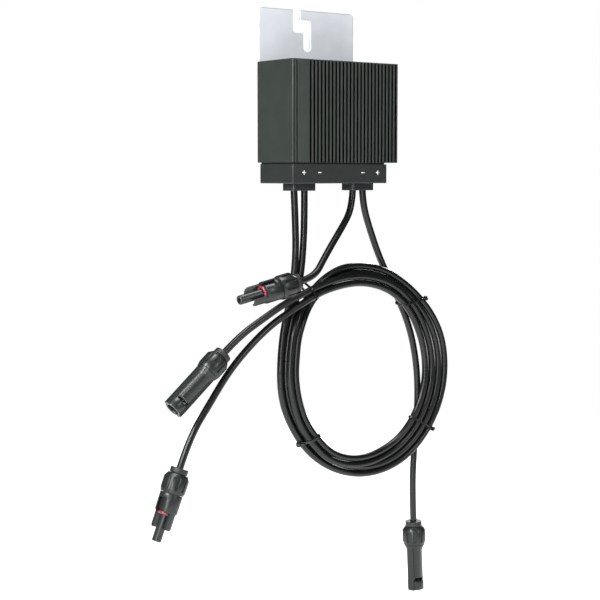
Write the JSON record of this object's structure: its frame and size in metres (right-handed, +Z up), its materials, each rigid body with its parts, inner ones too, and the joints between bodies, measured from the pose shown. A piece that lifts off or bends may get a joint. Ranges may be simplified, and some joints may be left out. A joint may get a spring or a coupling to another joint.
{
  "type": "solar power optimizer",
  "caption": "Finned metal box on a slotted hanging bracket, with a moulded bottom cover, cords to screw-cap solar connectors, and the long output cords wound in a tied coil.",
  "frame": {"origin": "centre of the bolt slot's round seat, on the bracket's back face", "axes": "+Z up when hung, +X to the right as seen from the fins, +Y towards the rail that it hangs on"},
  "size_m": [0.3593, 0.0731, 0.5946],
  "materials": {
    "housing": "satin dark grey coating on a casting",
    "bracket": "satin, bare",
    "screw": "satin",
    "gasket": "matt",
    "cover": "fine texture, dark grey",
    "cable_entry": "smooth moulded",
    "board": "green solder mask",
    "heat_pad": "matt",
    "transistor": "moulded case",
    "ferrite": "ground ferrite",
    "copper": "enamelled wire",
    "capacitor": "drawn can",
    "chip": "moulded case",
    "transformer": "moulded bobbin",
    "terminal": "tinned",
    "wire": "smooth",
    "cord": "smooth, satin",
    "tie": "smooth nylon",
    "connector": "smooth moulded",
    "collar": "matt",
    "sealing_ring": "smooth red",
    "contact": "tinned"
  },
  "bodies": {
    "root": {"heat_sink_housing": "housing", "mounting_bracket": "bracket", "bracket_screws": "screw", "cover_gasket": "gasket", "bottom_cover": "cover", "cover_screws": "screw", "output_cable_entry": "cable_entry", "input_cable_entry": "cable_entry", "circuit_board": "board", "board_screws": "screw", "heat_pad": "heat_pad", "power_transistors": "transistor", "power_inductor_core": "ferrite", "power_inductor_winding": "copper", "filter_choke_core": "ferrite", "filter_choke_winding": "copper", "storage_capacitors": "capacitor", "controller_chip": "chip", "signal_transformer": "transformer", "terminal_posts": "terminal", "output_wires": "wire", "input_wires": "wire", "output_plus_lead": "cord", "output_minus_lead": "cord", "output_coil": "cord", "output_minus_tail": "cord", "output_plus_tail": "cord", "input_minus_cord": "cord", "input_plus_cord": "cord", "tie_upper_left": "tie", "tie_upper_right": "tie", "tie_lower_right": "tie", "tie_lower_left": "tie", "input_minus_plug_collar": "collar", "input_minus_plug_cap_nut": "connector", "input_minus_plug_housing": "connector", "input_minus_plug_sealing_ring": "sealing_ring", "input_minus_plug_pin": "contact", "output_plus_socket_collar": "collar", "output_plus_socket_cap_nut": "connector", "output_plus_socket_housing": "connector", "output_plus_socket_sleeve": "contact", "output_minus_plug_collar": "collar", "output_minus_plug_cap_nut": "connector", "output_minus_plug_housing": "connector", "output_minus_plug_sealing_ring": "sealing_ring", "output_minus_plug_pin": "contact", "input_plus_socket_collar": "collar", "input_plus_socket_cap_nut": "connector", "input_plus_socket_housing": "connector", "input_plus_socket_sleeve": "contact"}
  },
  "joints": []
}
